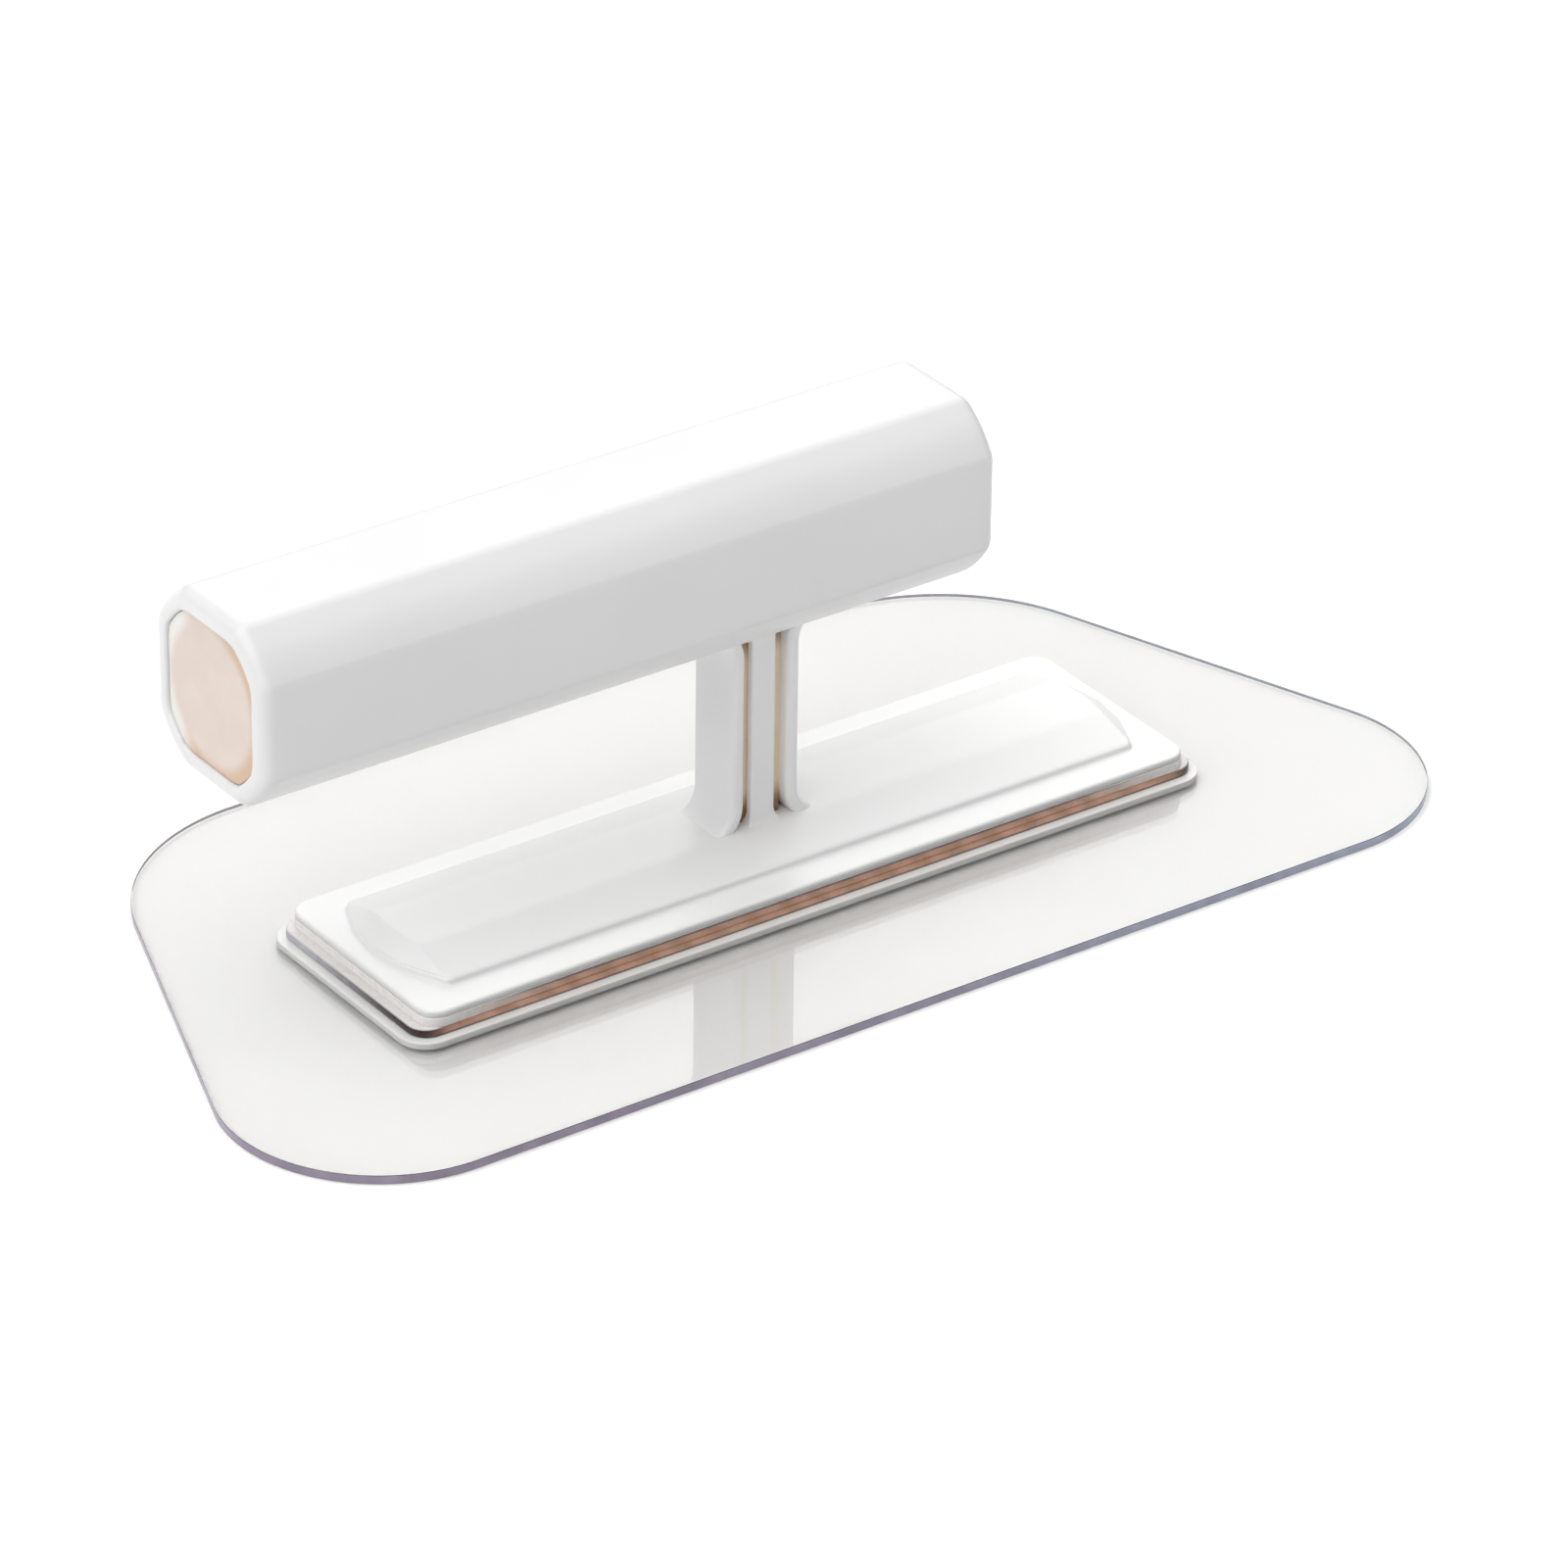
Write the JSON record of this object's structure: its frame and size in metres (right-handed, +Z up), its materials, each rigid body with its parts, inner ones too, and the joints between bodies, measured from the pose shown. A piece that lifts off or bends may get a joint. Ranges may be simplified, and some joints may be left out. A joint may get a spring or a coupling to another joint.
{
  "type": "plastering trowel",
  "caption": "Finishing trowel with a clear flexible blade, a bonded white base, a fluted column and an off-centre eight-sided grip.",
  "frame": {"origin": "centre of the blade's bounding box, on the underside of the blade", "axes": "+Z up from the blade to the grip, X along the grip with the grip's longer arm towards -X, -Y towards the blade's long front edge"},
  "size_m": [0.2202, 0.11, 0.0759],
  "materials": {
    "clear_sheet": "clear flexible plastic sheet, glossy, with a faint blue-violet cut edge",
    "clear_pad": "clear glossy plastic",
    "adhesive": "amber adhesive, glossy edge",
    "backing": "dark brown strip, satin",
    "white_plastic": "moulded white plastic, semi-gloss",
    "grip_plastic": "moulded white plastic, satin gloss",
    "plug_plastic": "ivory moulded plastic, satin",
    "tan_plastic": "tan moulded plastic, matte",
    "steel": "zinc-plated steel"
  },
  "bodies": {
    "root": {"blade": "clear_sheet", "blade_pad": "clear_pad", "adhesive_layer": "adhesive", "backing_strip": "backing", "base": "white_plastic", "column": "white_plastic", "column_core": "tan_plastic", "grip_sleeve": "grip_plastic", "near_end_plug": "plug_plastic", "far_end_plug": "plug_plastic", "grip_core": "tan_plastic", "tie_bolt": "steel", "bolt_washer": "steel", "bolt_nut": "steel"}
  },
  "joints": []
}
